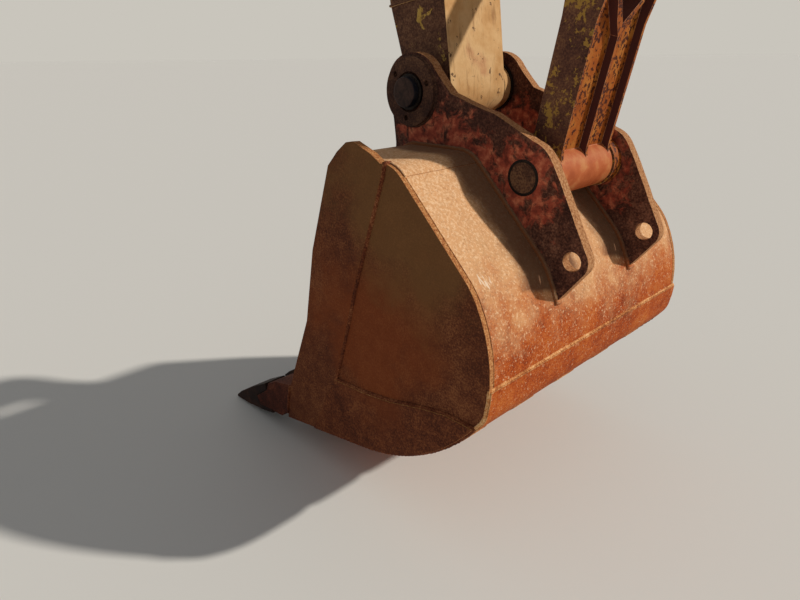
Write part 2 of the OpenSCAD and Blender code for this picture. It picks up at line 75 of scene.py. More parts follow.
# %% [markdown]
# ## Pins as landmarks
# An excavator's linkage is set out from its pins, so the scene reads each pin's place from the
# joints and mounts of the frame. The arm gets a direction along it, and the cylinder one along it
# and one out of its outer side, because wear and fittings follow the piece and not the world.

# %% Pins and directions
MM = 0.001
ACROSS = Vector((0, 1, 0))
BOOM_PIN = Vector(MOUNTS["boom_pin"]["pos_m"])
TAIL_PIN = Vector(MOUNTS["arm_cylinder_pin"]["pos_m"])
LIFTING_HOLE = Vector(MOUNTS["lifting_hole_right"]["pos_m"])
BUCKET_PIN = Vector(JOINTS["bucket_curl"]["pos_m"])
LINK_PIN = Vector(JOINTS["link_swing"]["pos_m"])
ROCKER_PIN = Vector(JOINTS["rocker_swing"]["pos_m"])
BASE_PIN = Vector(JOINTS["cylinder_swing"]["pos_m"])
ROD_PIN = sum(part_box("rod_eye_pin"), Vector()) / 2
ARM_DOWN = (BUCKET_PIN - BOOM_PIN).normalized()
RAM_DOWN = (ROD_PIN - BASE_PIN).normalized()
RAM_OUT = RAM_DOWN.cross(ACROSS)
print("pins", [tuple(round(x, 3) for x in pin) for pin in (BUCKET_PIN, LINK_PIN, ROD_PIN, BASE_PIN)])

# %% [markdown]
# ## Camera
# The photograph was taken by someone who stood behind the bucket's right side and looked down at it.
# A wide lens, as on a phone, gives the strong perspective: the near ear is much larger than the far
# one. The camera is placed by turning it to that heading, then tipping it down, then rolling it.

# %% Camera
LENS = 27.0
SENSOR = 36.0
HEADING = math.radians(136.3)
TIPPED_DOWN = math.radians(22.3)
ROLL = math.radians(-0.6)
EYE = BUCKET_PIN + Vector((1.3073, -1.5216, 0.1025))


def photo_camera():
    """The camera at the photograph's place, looking along its heading."""
    made = bpy.data.objects.new("camera", bpy.data.cameras.new("camera"))
    bpy.context.scene.collection.objects.link(made)
    made.data.lens = LENS
    made.data.sensor_width = SENSOR
    made.data.clip_start = 0.05
    made.data.clip_end = 200
    level = math.cos(TIPPED_DOWN)
    ahead = Vector((math.cos(HEADING) * level, math.sin(HEADING) * level, -math.sin(TIPPED_DOWN)))
    right = ahead.cross(Vector((0, 0, 1))).normalized()
    up = right.cross(ahead)
    turned_right = right * math.cos(ROLL) + up * math.sin(ROLL)
    turned_up = up * math.cos(ROLL) - right * math.sin(ROLL)
    turn = Matrix((turned_right, turned_up, -ahead)).transposed()
    made.matrix_world = Matrix.Translation(EYE) @ turn.to_4x4()
    bpy.context.scene.camera = made
    print("camera at", [round(x, 3) for x in EYE])


photo_camera()

# %% [markdown]
# ## Nodes and colours
# Every finish below is a small node tree. Colours are written as the sRGB hex values that a paint
# chart gives, and one function turns them into the linear values that light needs. `feed` fills an
# input: with a number, a hex colour, a socket, or another node, whose first output in use is then
# linked. `add` makes a node with its settings and feeds its inputs. `across` turns a real size in
# millimetres into a texture's scale. Rust and chalked paint hardly shine, so every finish starts with
# little sheen, which also keeps the shaded sides from turning grey.


# %% Node helpers
SHEEN = 0.15


def linear(hex_colour):
    """An sRGB hex colour as linear red, green, blue and alpha."""
    parts = [int(hex_colour[i : i + 2], 16) / 255 for i in (1, 3, 5)]
    return [*(p / 12.92 if p <= 0.04045 else ((p + 0.055) / 1.055) ** 2.4 for p in parts), 1.0]


def across(size_mm):
    """The scale at which a texture's lumps are that many millimetres across."""
    return 1 / (size_mm * MM)


def feed(tree, socket, value):
    """Fills a socket with a number or a colour, or links a socket or a node's first output in use."""
    if isinstance(value, bpy.types.Node):
        value = next(output for output in value.outputs if output.enabled)
    if isinstance(value, bpy.types.NodeSocket):
        tree.links.new(value, socket)
    else:
        socket.default_value = linear(value) if isinstance(value, str) else value


def add(tree, kind, inputs, stops=(), **settings):
    """A new node with its settings, the stops of its ramp, and its inputs by name or number."""
    made = tree.nodes.new("ShaderNode" + kind)
    for name, value in settings.items():
        setattr(made, name, value)
    for rank, (position, colour) in enumerate(stops):
        points = made.color_ramp.elements
        point = points[rank] if rank < len(points) else points.new(position)
        point.position, point.color = position, linear(colour)
    in_use = [socket for socket in made.inputs if socket.enabled]
    for name, value in inputs.items():
        found = in_use[name] if isinstance(name, int) else next(s for s in in_use if s.name == name)
        feed(tree, found, value)
    return made


def start_finish(name, **values):
    """A material with its shader and output, and the object's own coordinates to draw on."""
    made = bpy.data.materials.new(name)
    made.use_nodes = True
    made.node_tree.nodes.clear()
    tree = made.node_tree
    place = add(tree, "TexCoord", {}).outputs["Object"]
    shader = add(tree, "BsdfPrincipled", {"Specular IOR Level": SHEEN, **values})
    add(tree, "OutputMaterial", {"Surface": shader})
    return made, tree, place, shader


print("half grey is", [round(x, 3) for x in linear("#808080")])

# %% [markdown]
# ## Patterns that several finishes share
# Rust looks different from a step away and from a hand's width, so its colour is picked by three
# noises added up: swells as wide as a hand, mottling as wide as a thumb, and grit. `coat` adds them
# and picks a tone. `layer` lays one colour over another where a pattern passes from one value to
# the next. `relief` turns heights into bump. `away` measures how far a point is from an axis across
# the machine, and `along` how far it lies in a direction, so that wear can be put in its place.


# %% Shared patterns
def coat(tree, place, tones, grit_mm=6, shares=(0.9, 0.8, 1.1)):
    """Colour in a few tones, from deep to dusty, with the swells and the grit that picked it."""
    swells = add(
        tree,
        "TexNoise",
        {"Vector": place, "Scale": across(230), "Detail": 3.0, "Roughness": 0.6, "Distortion": 0.4},
    )
    mottle = add(
        tree, "TexNoise", {"Vector": place, "Scale": across(38), "Detail": 4.0, "Roughness": 0.62}
    )
    grit = add(
        tree, "TexNoise", {"Vector": place, "Scale": across(grit_mm), "Detail": 2.0, "Roughness": 0.7}
    )
    mix = 0.5 - 0.5 * sum(shares)
    for height, share in zip((swells, mottle, grit), shares):
        mix = add(tree, "Math", {0: height, 1: share, 2: mix}, operation="MULTIPLY_ADD")
    return add(tree, "ValToRGB", {"Fac": mix}, tones), swells, grit


def layer(tree, under, over, pattern, start, end, most=1.0):
    """Lays a colour over another where a pattern goes from start to end, to the given strength."""
    mask = add(
        tree,
        "MapRange",
        {"Value": pattern, "From Min": start, "From Max": end, "To Max": most},
        interpolation_type="SMOOTHSTEP",
    )
    return add(tree, "Mix", {"Factor": mask, "A": under, "B": over}, data_type="RGBA")


def relief(tree, shader, *layers):
    """Bump from (height, depth in millimetres) layers, from the coarsest to the finest."""
    inputs = {}
    for height, depth_mm in layers:
        inputs = {**inputs, "Height": height, "Distance": depth_mm * MM, "Strength": 1.0}
        inputs["Normal"] = add(tree, "Bump", inputs)
    feed(tree, shader.inputs["Normal"], inputs["Normal"])


def away(tree, place, centre):
    """Distance from the axis that runs across the machine through centre."""
    level = add(tree, "VectorMath", {0: place, 1: (1, 0, 1)}, operation="MULTIPLY")
    return add(tree, "VectorMath", {0: level, 1: (centre.x, 0, centre.z)}, operation="DISTANCE")


def along(tree, place, direction, start):
    """How far a point lies past start in a direction."""
    past = add(tree, "VectorMath", {0: place, 1: start}, operation="SUBTRACT")
    return add(tree, "VectorMath", {0: past, 1: direction}, operation="DOT_PRODUCT")


def off_middle(tree, vector):
    """How far a vector reaches to either side of the machine."""
    parts = add(tree, "SeparateXYZ", {"Vector": vector}).outputs
    return add(tree, "Math", {0: parts["Y"]}, operation="ABSOLUTE")


def sideways(tree):
    """How squarely a face looks out to either side of the machine: 1 on a side, 0 on a rim."""
    return off_middle(tree, add(tree, "TexCoord", {}).outputs["Normal"])


print("lumps 38 mm across need a scale of", round(across(38), 1))

# %% [markdown]
# ## Rusted side plates
# Hot rolled steel loses its mill scale outdoors and rusts all over. The film is rough and dull, so
# it has no gloss to speak of. Its colour tells where water stands and where earth rubs: olive brown
# under dust, red brown where it stays damp, orange where it was scoured last. The sides keep their
# deep tones and the plates' rims are scoured bright and given a painted highlight, so the finish asks which way a
# face looks.

# %% Side plates
SIDE_GLOW = BUCKET_PIN + Vector((0.12, 0, -0.64))
SIDE_DUST = BUCKET_PIN + Vector((0.28, 0, -0.22))
RIM_TONES = [(0.30, "#7a4527"), (0.44, "#9f6338"), (0.58, "#b7804d"), (0.72, "#cf9f6e")]


def side_finish(name, tones, glow, dust):
    """Rusted side plate with an orange glow low down, dust near its top, and bright rims, scoured and with a
    painted highlight.
    """
    made, tree, place, shader = start_finish(name, Roughness=0.88)
    colour, swells, grit = coat(tree, place, tones, 5, (0.7, 0.8, 1.7))
    patches = add(
        tree, "TexNoise", {"Vector": place, "Scale": across(190), "Detail": 6.0, "Roughness": 0.6}
    )
    for tint, centre, reach, most in ((glow, SIDE_GLOW, 0.30, 0.65), (dust, SIDE_DUST, 0.34, 0.75)):
        ragged = add(
            tree, "Math", {0: patches, 1: -0.7, 2: away(tree, place, centre)}, operation="MULTIPLY_ADD"
        )
        colour = layer(tree, colour, tint, ragged, reach - 0.3, reach - 0.55, most)
    # Faces that don't look to the sides get rim tones: scoured rust, made brighter as a painted highlight.
    rim = add(tree, "ValToRGB", {"Fac": grit}, RIM_TONES)
    colour = layer(tree, rim, colour, sideways(tree), 0.45, 0.75)
    feed(tree, shader.inputs["Base Color"], colour)
    relief(tree, shader, (swells, 5.0), (grit, 0.9))
    return made


side_rust = side_finish(
    "rusted_steel_side_plate",
    [(0.25, "#4f291a"), (0.45, "#63341f"), (0.62, "#734228"), (0.85, "#8b5634")],
    "#833f1b",
    "#75522f",
)
wear_rust = side_finish(
    "rusted_steel_wear_plate",
    [(0.25, "#482315"), (0.45, "#5b2e1b"), (0.62, "#6d3a22"), (0.85, "#854f2e")],
    "#733719",
    "#63371e",
)
print("side finishes:", side_rust.name, wear_rust.name)

# %% [markdown]
# ## Rusted back plate
# The bent plate is scoured by the earth that slides over it, so its rust is young and orange. Dust
# settles where it leans back, near the top, and lies there pale. Between the two it is caught in the
# pits, as pale specks. The specks are about 8 mm across, which is just coarse enough to show. Beside
# the ears, in a band that fades out low down, the plate gets a dark brown painted shadow of the ears, with no
# dust. Its end faces look out to the sides and are darker, like the side plates.

# %% Back plate
EAR_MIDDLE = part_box("bucket_ears")[1].y - 0.016
DUSTY_FROM = -0.66
DUSTY_TO = -0.38
SCRATCHES = BUCKET_PIN + Vector((0.478, -0.45, -0.405))


def back_finish(name, tones, dust, speck):
    """Scoured orange rust with pale dust above, pale specks between, and a painted shadow beside the ears."""
    made, tree, place, shader = start_finish(name, Roughness=0.86)
    colour, swells, grit = coat(tree, place, tones, 5, (1.0, 0.8, 1.3))
    height = along(tree, place, Vector((0, 0, 1)), BUCKET_PIN)
    mottle = add(
        tree, "TexNoise", {"Vector": place, "Scale": across(110), "Detail": 5.0, "Roughness": 0.65}
    )
    ragged = add(tree, "Math", {0: mottle, 1: 0.5, 2: height}, operation="MULTIPLY_ADD")
    colour = layer(tree, colour, dust, ragged, DUSTY_FROM + 0.27, DUSTY_TO + 0.27, 0.75)
    specks = add(
        tree, "TexNoise", {"Vector": place, "Scale": across(8), "Detail": 3.0, "Roughness": 0.75}
    )
    caught = add(tree, "Math", {0: ragged, 1: 0.25, 2: specks}, operation="MULTIPLY_ADD")
    colour = layer(tree, colour, speck, caught, 0.46, 0.62, 0.75)
    dark = add(tree, "TexNoise", {"Vector": place, "Scale": across(7), "Detail": 3.0, "Roughness": 0.7})
    colour = layer(tree, colour, "#6a2f17", dark, 0.54, 0.68, 0.3)
    # Beside the ears, fading out low down, a dark brown painted shadow of the ears covers the dust.
    off_ear = add(tree, "Math", {0: off_middle(tree, place), 1: EAR_MIDDLE}, operation="SUBTRACT")
    near = add(tree, "Math", {0: off_ear}, operation="ABSOLUTE")
    ear_shadow = add(tree, "Math", {0: mottle, 1: 0.10, 2: near}, operation="MULTIPLY_ADD")
    shadow_height = add(
        tree, "MapRange", {"Value": height, "From Min": -0.68, "From Max": -0.45, "To Min": 0.2}
    )
    ear_shadow = add(tree, "Math", {0: ear_shadow, 1: shadow_height}, operation="SUBTRACT")
    colour = layer(tree, colour, "#5b3a29", ear_shadow, -0.80, -0.86, 0.85)
    beside = add(tree, "VectorMath", {0: place, 1: SCRATCHES}, operation="DISTANCE")
    drawn = add(tree, "Mapping", {"Vector": place, "Scale": (0.25, 1, 0.25)})
    lines = add(tree, "TexNoise", {"Vector": drawn, "Scale": across(5), "Detail": 3.0})
    scored = add(tree, "Math", {0: beside, 1: -9.0, 2: lines}, operation="MULTIPLY_ADD")
    colour = layer(tree, colour, "#e2c6a8", scored, 0.36, 0.46)
    colour = layer(tree, colour, "#7a4524", sideways(tree), 0.6, 0.85, 0.8)
    feed(tree, shader.inputs["Base Color"], colour)
    relief(tree, shader, (swells, 9.0), (mottle, 2.5), (grit, 0.8))
    return made


back_rust = back_finish(
    "rusted_steel_bent_plate",
    [(0.20, "#7f3310"), (0.42, "#a14616"), (0.60, "#af551e"), (0.82, "#bc6b31")],
    "#dcae7c",
    "#e9c298",
)
print("back finish:", back_rust.name)

# %% [markdown]
# ## Cut edges, weld metal and castings
# Flame cut edges are rubbed down to bright orange rust by whatever passes them. A weld rusts like the
# plate, but it is lumpy, so dirt lies between its ripples. Cast teeth and their adapters are a harder
# steel that rusts darker, and the tips are rubbed smooth by the ground. All of these differ only in
# their tones and their grit, so one function makes them.


# %% Edges and welds
def plain_rust(name, tones, grit_mm=6, rough=0.86, grit_depth_mm=0.8):
    """An even coat of rust with no wear of its own."""
    made, tree, place, shader = start_finish(name, Roughness=rough)
    colour, swells, grit = coat(tree, place, tones, grit_mm)
    feed(tree, shader.inputs["Base Color"], colour)
    relief(tree, shader, (swells, 2.0), (grit, grit_depth_mm))
    return made


edge_rust = plain_rust("rusted_steel_cut_edge", RIM_TONES)
weld_rust = plain_rust(
    "rusted_weld_metal", [(0.20, "#3c1c11"), (0.42, "#5b2b18"), (0.60, "#764024"), (0.82, "#9a6340")]
)
bright_weld = plain_rust(
    "scoured_weld_metal", [(0.20, "#7d4220"), (0.42, "#b87440"), (0.60, "#d49a62"), (0.82, "#e8c08c")]
)
inside_rust = plain_rust(
    "rusted_steel_inside", [(0.20, "#5a3220"), (0.42, "#7d4a2d"), (0.60, "#9a6640"), (0.82, "#b98c62")]
)
pipe_finish = plain_rust(
    "rusted_seamless_pipe", [(0.20, "#30211a"), (0.45, "#4c3326"), (0.62, "#6c4a33"), (0.82, "#8a6848")]
)
tooth_finish = plain_rust(
    "worn_cast_tooth_steel",
    [(0.20, "#110a09"), (0.42, "#20110e"), (0.60, "#2f1b14"), (0.82, "#4a3024")],
    4,
    0.72,
)
adapter_finish = plain_rust(
    "rusted_cast_adapter",
    [(0.20, "#2e1611"), (0.42, "#4a2218"), (0.60, "#613221"), (0.82, "#7b4b31")],
    5,
)
print("plain rusts:", edge_rust.name, weld_rust.name, bright_weld.name, inside_rust.name)
print("darker rusts:", pipe_finish.name, tooth_finish.name, adapter_finish.name)

# %% [markdown]
# ## Red primer left on rust
# The bucket's ears were primed before the top coat. Primer has survived along the foot of each ear,
# where earth never rubs, and round the link pin. A short table gives those places as spots, each
# with its reach. A point's mask is how deep it lies in the nearest spot, broken up by noise so that
# the primer ends in flakes.

# %% Primed ears
PRIMER_SPOTS = [  # metres out from the bucket pin, metres up from it, reach in metres
    (0.02, -0.115, 0.075),
    (0.10, -0.100, 0.070),
    (0.18, -0.130, 0.075),
    (0.245, -0.180, 0.080),
    (0.300, -0.245, 0.085),
    (0.350, -0.310, 0.085),
    (0.405, -0.198, 0.100),
    (0.450, -0.300, 0.050),
]


def primed_plate():
    """Dark rusted plate with remains of red primer, and bright rims, worn and with a painted highlight."""
    made, tree, place, shader = start_finish("red_primer_over_rusted_plate", Roughness=0.82)
    tones = [(0.20, "#301b16"), (0.42, "#492b22"), (0.60, "#623f31"), (0.82, "#8a5e49")]
    colour, swells, grit = coat(tree, place, tones)
    flakes = add(
        tree,
        "TexNoise",
        {"Vector": place, "Scale": across(45), "Detail": 8.0, "Roughness": 0.72, "Distortion": 0.6},
    )
    depth = -1.0
    for out, up, reach in PRIMER_SPOTS:
        centre = BUCKET_PIN + Vector((out, 0, up))
        inside = add(tree, "Math", {0: reach, 1: away(tree, place, centre)}, operation="SUBTRACT")
        depth = add(tree, "Math", {0: depth, 1: inside}, operation="MAXIMUM")
    ragged = add(tree, "Math", {0: flakes, 1: 0.42, 2: depth}, operation="MULTIPLY_ADD")
    blush = add(
        tree, "TexNoise", {"Vector": place, "Scale": across(30), "Detail": 5.0, "Roughness": 0.65}
    )
    primer = add(
        tree, "ValToRGB", {"Fac": blush}, [(0.34, "#6e3024"), (0.50, "#ac503a"), (0.64, "#d77e5b")]
    )
    colour = layer(tree, colour, primer, ragged, 0.20, 0.26, 0.9)
    # Faces that don't look to the sides get pale tones: worn rust, made paler as a painted highlight.
    rim = add(tree, "ValToRGB", {"Fac": grit}, [(0.30, "#77492b"), (0.5, "#a67247"), (0.7, "#be9168")])
    colour = layer(tree, rim, colour, sideways(tree), 0.45, 0.75)
    feed(tree, shader.inputs["Base Color"], colour)
    relief(tree, shader, (swells, 3.0), (ragged, 0.9), (grit, 0.8))
    return made


ear_primer = primed_plate()
collar_rust = plain_rust(
    "rusted_steel_collar", [(0.20, "#2f1d19"), (0.42, "#472e24"), (0.60, "#5b3e2e"), (0.82, "#7a583e")]
)
print("ear finishes:", ear_primer.name, collar_rust.name)

# %% [markdown]
# ## Worn enamel on the arm
# Machine enamel fails in two ways. It chips where steel is knocked, and it thins where it is rubbed,
# and rain then draws rust down from both. On this arm the outer face has kept a thin sunburnt cream
# coat, while the sides are brown rust with yellow islands. The higher up the arm, the more is left.

# %% Arm enamel
KEPT_FROM = 0.15
KEPT_TO = 1.9


def arm_finish():
    """Cream worn enamel on the outer face, and rust with islands of yellow on the sides."""
    made, tree, place, shader = start_finish("worn_arm_enamel", Roughness=0.7)
    rust, swells, grit = coat(
        tree, place, [(0.20, "#42281e"), (0.42, "#5c3b2a"), (0.60, "#734f38"), (0.82, "#926a4d")]
    )
    knocks = add(
        tree,
        "TexNoise",
        {"Vector": place, "Scale": across(70), "Detail": 9.0, "Roughness": 0.66, "Distortion": 0.3},
    )
    up = along(tree, place, -ARM_DOWN, BUCKET_PIN)
    kept = add(
        tree,
        "MapRange",
        {"Value": up, "From Min": KEPT_FROM, "From Max": KEPT_TO, "To Min": -0.04, "To Max": 0.16},
    )
    islands = add(tree, "Math", {0: knocks, 1: kept}, operation="ADD")
    fade = add(
        tree, "TexNoise", {"Vector": place, "Scale": across(120), "Detail": 6.0, "Roughness": 0.62}
    )
    yellow = add(
        tree, "ValToRGB", {"Fac": fade}, [(0.34, "#a37c34"), (0.5, "#c09a4c"), (0.66, "#d3b36a")]
    )
    side = layer(tree, rust, yellow, islands, 0.545, 0.575)
    cream = add(
        tree,
        "ValToRGB",
        {"Fac": fade},
        [(0.30, "#b6854e"), (0.44, "#cb9e68"), (0.56, "#d6ae7a"), (0.70, "#c49164")],
    )
    fallen = add(tree, "Mapping", {"Vector": place, "Scale": (1, 1, 0.12)})
    streaks = add(
        tree, "TexNoise", {"Vector": fallen, "Scale": across(16), "Detail": 5.0, "Roughness": 0.7}
    )
    cream = layer(tree, cream, "#8a6038", streaks, 0.52, 0.70, 0.6)
    chips = add(
        tree, "TexNoise", {"Vector": place, "Scale": across(26), "Detail": 8.0, "Roughness": 0.7}
    )
    cream = layer(tree, cream, "#4d3120", chips, 0.615, 0.64, 0.9)
    colour = layer(tree, cream, side, sideways(tree), 0.45, 0.75)
    feed(tree, shader.inputs["Base Color"], colour)
    relief(tree, shader, (swells, 3.0), (knocks, 1.2), (grit, 0.4))
    return made


arm_enamel = arm_finish()
print("arm finish:", arm_enamel.name)

# %% [markdown]
# ## Chipped enamel on the link
# The link is painted in a deeper orange. Its outer face is peppered with chips 5 to 12 mm across,
# each a small dark island of rust. The ribs beside the two channels are rubbed bright on their
# fronts, brightened further by a painted highlight, and their flanks get a dull purple that is painted shade.
# Paint has gone altogether from the round lower end, which
# the far side of the earth polishes: that is bare steel under a thin salmon film of rust.

# %% Link enamel
LINK_CAP = 0.069
LINK_SIDE = 0.120


def link_finish():
    """Orange enamel with small chips, dull sides, rib flanks in painted shade, and a bare lower end."""
    made, tree, place, shader = start_finish("chipped_orange_enamel", Roughness=0.62)
    tones = [(0.20, "#40251e"), (0.42, "#59372a"), (0.60, "#6e4833"), (0.82, "#8c6341")]
    dull, swells, grit = coat(tree, place, tones)
    flakes = add(
        tree, "TexNoise", {"Vector": place, "Scale": across(15), "Detail": 5.0, "Roughness": 0.7}
    )
    patches = add(tree, "TexNoise", {"Vector": place, "Scale": across(90), "Detail": 3.0})
    ochre = add(tree, "Math", {0: patches, 1: 0.8, 2: flakes}, operation="MULTIPLY_ADD")
    dull = layer(tree, dull, "#b48a3c", ochre, 0.98, 1.03, 0.8)
    fade = add(tree, "TexNoise", {"Vector": place, "Scale": across(60), "Detail": 5.0, "Roughness": 0.6})
    paint = add(
        tree, "ValToRGB", {"Fac": fade}, [(0.34, "#86400f"), (0.5, "#9c5218"), (0.66, "#ad6c2a")]
    )
    peppered = add(
        tree, "TexNoise", {"Vector": place, "Scale": across(11), "Detail": 4.0, "Roughness": 0.62}
    )
    chipped = add(tree, "Math", {0: patches, 1: 0.35, 2: peppered}, operation="MULTIPLY_ADD")
    paint = layer(tree, paint, "#3c160b", chipped, 0.70, 0.73, 0.95)
    facing = sideways(tree)
    out = off_middle(tree, place)
    # The rib flanks inside LINK_SIDE get a dull purple: painted shade.
    flank_painted_shade = layer(tree, "#56302a", dull, out, LINK_SIDE, LINK_SIDE + 0.002)
    colour = layer(tree, paint, flank_painted_shade, facing, 0.45, 0.75)
    bare = add(tree, "ValToRGB", {"Fac": fade}, [(0.34, "#9c4c26"), (0.5, "#ae5c32"), (0.68, "#bd7b4a")])
    end = away(tree, place, LINK_PIN)
    worn = layer(tree, bare, dull, facing, 0.45, 0.75)
    colour = layer(tree, worn, colour, end, LINK_CAP - 0.001, LINK_CAP)
    feed(tree, shader.inputs["Base Color"], colour)
    relief(tree, shader, (swells, 2.0), (peppered, 0.5), (grit, 0.4))
    return made


link_enamel = link_finish()
# The link's rounds: rubbed enamel, made brighter as a painted highlight.
link_rims_and_highlight = plain_rust(
    "rubbed_enamel_edge_and_painted_highlight", [(0.20, "#8f4b30"), (0.42, "#b47451"), (0.60, "#c89270"), (0.82, "#d4a789")]
)
print("link finishes:", link_enamel.name, link_rims_and_highlight.name)

# %% [markdown]
# ## Enamel on the cylinder
# A cylinder is guarded by the arm and wiped now and then, so its enamel is the least worn. It has
# small chips with rust in them, and brown marks where rain has run down.


# %% Cylinder enamel
def cylinder_finish():
    """Yellow enamel with small chips and rain marks."""
    made, tree, place, shader = start_finish("worn_cylinder_enamel", Roughness=0.5)
    rust, swells, grit = coat(
        tree, place, [(0.20, "#442819"), (0.42, "#663c22"), (0.60, "#86532f"), (0.82, "#a5744a")]
    )
    fade = add(tree, "TexNoise", {"Vector": place, "Scale": across(90), "Detail": 6.0, "Roughness": 0.6})
    paint = add(
        tree, "ValToRGB", {"Fac": fade}, [(0.34, "#9c732d"), (0.5, "#b4883a"), (0.66, "#c49e56")]
    )
    fallen = add(tree, "Mapping", {"Vector": place, "Scale": (1, 1, 0.1)})
    streaks = add(
        tree, "TexNoise", {"Vector": fallen, "Scale": across(12), "Detail": 4.0, "Roughness": 0.65}
    )
    paint = layer(tree, paint, "#7a5028", streaks, 0.55, 0.72, 0.6)
    knocks = add(
        tree, "TexNoise", {"Vector": place, "Scale": across(34), "Detail": 8.0, "Roughness": 0.68}
    )
    feed(tree, shader.inputs["Base Color"], layer(tree, paint, rust, knocks, 0.585, 0.60))
    relief(tree, shader, (swells, 1.0), (knocks, 0.5), (grit, 0.2))
    return made


ram_enamel = cylinder_finish()
print("cylinder finish:", ram_enamel.name)

# %% [markdown]
# ## Pins, rod and grease
# A pin end is ground steel under old grease: brown on the end that dust settles on, and blue black on
# its side, where grease and painted shade share one colour. The rod is hard chromed and ground round, a bright
# metal under a film of dust. Old grease is black and lumpy, and so much dust has stuck to it that it hardly
# shines.


# %% Ground steel, chrome and grease
def pin_steel():
    """Ground pins: brown dust on their ends, blue black grease with painted shade on their sides."""
    made, tree, place, shader = start_finish("greased_pin_steel", Metallic=0.3, Roughness=0.55)
    smear = add(
        tree,
        "TexNoise",
        {"Vector": place, "Scale": across(20), "Detail": 6.0, "Roughness": 0.65, "Distortion": 0.8},
    )
    end = add(tree, "ValToRGB", {"Fac": smear}, [(0.3, "#1f1412"), (0.5, "#32221d"), (0.7, "#46312a")])
    # Blue black on the pins' sides: grease and painted shade together.
    side = add(tree, "ValToRGB", {"Fac": smear}, [(0.3, "#0d0e16"), (0.5, "#191a23"), (0.7, "#2f2a2b")])
    feed(tree, shader.inputs["Base Color"], layer(tree, side, end, sideways(tree), 0.6, 0.9))
    relief(tree, shader, (smear, 0.6))
    return made


def chromed_rod():
    """Hard chrome, ground round, under a film of dust."""
    made, tree, place, shader = start_finish("ground_hard_chrome", Metallic=0.9)
    film = add(tree, "TexNoise", {"Vector": place, "Scale": across(90), "Detail": 5.0, "Roughness": 0.6})
    feed(tree, shader.inputs["Base Color"], layer(tree, "#c6c8ca", "#8f7f6c", film, 0.5, 0.75, 0.35))
    rough = add(
        tree,
        "MapRange",
        {"Value": film, "From Min": 0.5, "From Max": 0.75, "To Min": 0.18, "To Max": 0.45},
    )
    feed(tree, shader.inputs["Roughness"], rough)
    ground = add(tree, "Mapping", {"Vector": place, "Scale": (0.15, 0.15, 1)})
    relief(tree, shader, (add(tree, "TexNoise", {"Vector": ground, "Scale": across(2.5)}), 0.02))
    return made


def old_grease():
    """Black grease that has picked up dust."""
    made, tree, place, shader = start_finish("old_black_grease", Roughness=0.6)
    lumps = add(
        tree, "TexNoise", {"Vector": place, "Scale": across(12), "Detail": 5.0, "Roughness": 0.6}
    )
    tone = add(tree, "ValToRGB", {"Fac": lumps}, [(0.35, "#0e0b0a"), (0.7, "#2a1f19")])
    feed(tree, shader.inputs["Base Color"], tone)
    relief(tree, shader, (lumps, 1.2))
    return made


pin_finish = pin_steel()
rod_finish = chromed_rod()
grease = old_grease()
print("metals and grease:", pin_finish.name, rod_finish.name, grease.name)

# %% [markdown]
# ## Merged copies of the construction's nodes
# The construction's meshes are loose triangles. A copy of each is merged into whole faces, because a
# bevel or a cut needs edges that know both of their faces. An edge counts as a corner only where its
# faces meet at a clear angle, so the many small faces round a bore have no corners between them.

# %% Merged copies
CORNER = math.radians(28)
FLAT = math.radians(0.5)
SAME_POINT = 0.02 * MM


def merged(node):
    """A copy of a construction node with its loose triangles merged into whole faces."""
    bm = bmesh.new()
    bm.from_mesh(NODES[node].data)
    bmesh.ops.remove_doubles(bm, verts=bm.verts, dist=SAME_POINT)
    bmesh.ops.dissolve_limit(
        bm, angle_limit=FLAT, verts=bm.verts, edges=bm.edges, delimit={"NORMAL"}
    )
    return bm


def corner_edges(bm):
    """The edges at which two faces meet at a corner."""
    return [edge for edge in bm.edges if edge.is_manifold and edge.calc_face_angle(0) > CORNER]


band = merged("heel_band")
print("the heel band has", len(band.faces), "faces and", len(corner_edges(band)), "corner edges")
band.free()

# %% [markdown]
# ## Battered outlines
# A flame cut plate never has a true line. Its outline wavers by a millimetre or so, and knocks add
# to that. It shows best on the ears and the rocker levers, so their rims are cut into short lengths
# and their points are nudged by noise. The noise reads only X and Z, so both faces of a plate move
# alike and the plate stays flat. Bores are left alone. The noise gets a seed, because without one
# it starts from the time of day and no two runs give the same outline.

# %% Battered outlines
BATTER_STEP = 28 * MM
BATTER_LUMP = 70 * MM
BORE_SAFE = 75 * MM
MOST_CUTS = 40
NOISE_SEED = 1
BORES = [BUCKET_PIN, LINK_PIN, ROCKER_PIN, ROD_PIN, BASE_PIN, TAIL_PIN, BOOM_PIN, LIFTING_HOLE]
noise.seed_set(NOISE_SEED)


def in_plane(point):
    """A point's place within the plane of the plates."""
    return Vector((point.x, 0, point.z))


def batter(bm, depth_mm):
    """Cuts a plate's outline into short lengths and nudges them within the plate's plane."""
    rims = [e for e in corner_edges(bm) if abs((e.verts[0].co - e.verts[1].co).normalized().y) < 0.1]
    for cuts in range(1, MOST_CUTS):
        of_length = [e for e in rims if e.is_valid and round(e.calc_length() / BATTER_STEP) == cuts + 1]
        if of_length:
            bmesh.ops.subdivide_edges(bm, edges=of_length, cuts=cuts)
    for vert in bm.verts:
        spot = in_plane(vert.co)
        if min((spot - in_plane(bore)).length for bore in BORES) > BORE_SAFE:
            nudge = noise.noise_vector(spot / BATTER_LUMP) * depth_mm * MM
            vert.co += in_plane(nudge)


print("outlines are cut every", round(BATTER_STEP / MM), "mm and left alone at", len(BORES), "bores")

# %% [markdown]
# ## Softened corners
# No corner of a real plate is a knife edge: each is knocked into a small round that catches the
# light. A bevel modifier rounds every corner of a copy, and gives the rounds a finish of their own,
# because bright rust or bare metal shows there first; on the link that finish is also a painted highlight.
# The copy then takes its node's place, and keeps its body.

# %% Softened corners
BEVEL_STEPS = 2


